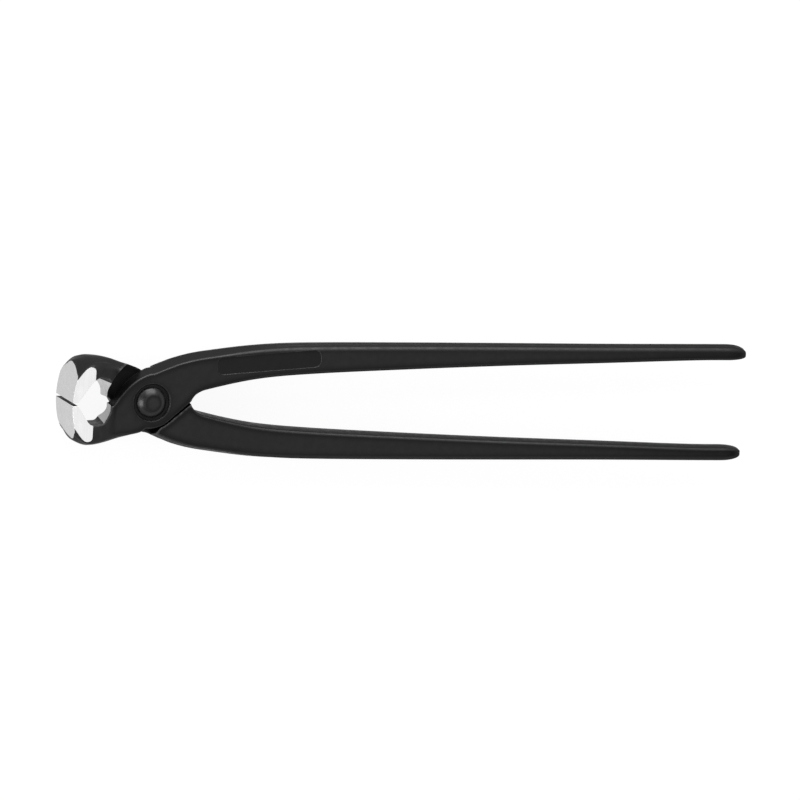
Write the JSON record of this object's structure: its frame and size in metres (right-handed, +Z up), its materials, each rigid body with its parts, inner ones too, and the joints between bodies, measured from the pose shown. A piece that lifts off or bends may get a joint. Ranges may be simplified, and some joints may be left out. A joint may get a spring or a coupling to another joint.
{
  "type": "carpenters pincers",
  "caption": "Carpenters pincers: forged levers with long slim handles and wide ground end-cutting jaws, crossing at a lap joint on a rivet.",
  "frame": {"origin": "middle of the footprint of the tool lying flat, on the plane of its lower ground cheeks", "axes": "+Z up along the rivet, X along the handles with the jaws at -X, Y across the handles"},
  "size_m": [0.28, 0.0464, 0.0225],
  "materials": {
    "black_steel": "black oxide, satin",
    "rivet_steel": "black oxide, satin"
  },
  "bodies": {
    "bottom": {"bottom_lever": "black_steel", "joint_rivet": "rivet_steel"},
    "top": {"top_lever": "black_steel"}
  },
  "joints": [
    {"name": "jaw_pivot", "type": "hinge", "parent": "bottom", "child": "top", "pos_m": [-0.106, 0, 0.01125], "axis": [0, 0, 1], "range_deg": [-1.68, 26]}
  ]
}
